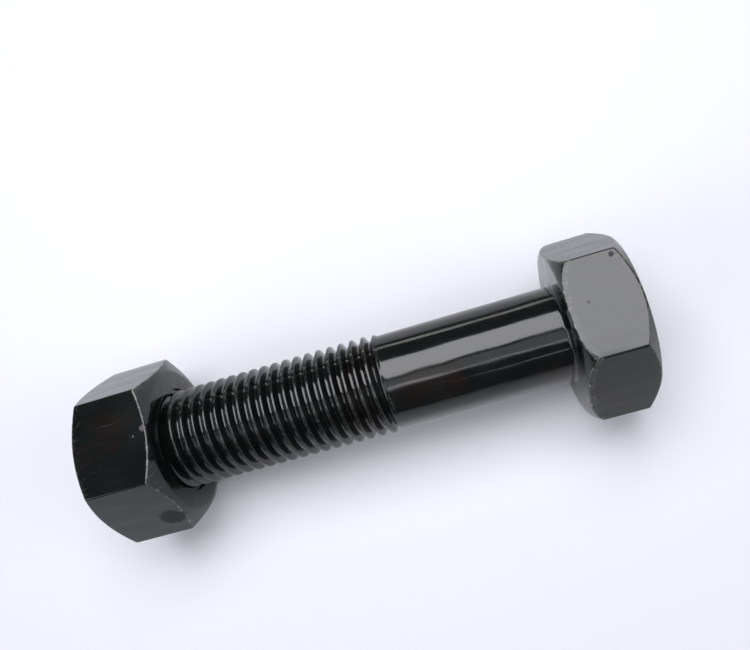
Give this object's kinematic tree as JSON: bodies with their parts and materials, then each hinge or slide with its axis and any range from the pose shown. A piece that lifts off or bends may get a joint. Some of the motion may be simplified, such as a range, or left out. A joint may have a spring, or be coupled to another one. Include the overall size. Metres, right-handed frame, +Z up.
{
  "type": "hex bolt",
  "caption": "Partly threaded hex bolt with a hex nut that screws along its right-hand thread, black oxide steel.",
  "frame": {"origin": "on the bolt's axis, in the plane of the head's bearing face", "axes": "+X along the shank from the head to the threaded end, +Z up with the bolt lying on its hex flats, +Y sideways"},
  "size_m": [0.1596, 0.0532, 0.046],
  "materials": {
    "bolt_black_oxide": "glossy oiled black oxide",
    "nut_black_oxide": "glossy oiled black oxide"
  },
  "bodies": {
    "bolt": {"bolt": "bolt_black_oxide"},
    "nut_travel": {"nut_bearing_ring": "nut_black_oxide"},
    "nut": {"nut": "nut_black_oxide"}
  },
  "joints": [
    {"name": "nut_travel", "type": "slide", "parent": "bolt", "child": "nut_travel", "axis": [1, 0, 0], "range_m": [-0.05775, 0.014]},
    {"name": "nut_turn", "type": "hinge", "parent": "nut_travel", "child": "nut", "pos_m": [0.1285, 0, 0], "axis": [1, 0, 0], "range_deg": [-5941, 1441]}
  ],
  "couplings": [
    {"joint": "nut_turn", "follows": "nut_travel", "rad_per_m": 1795.2}
  ]
}
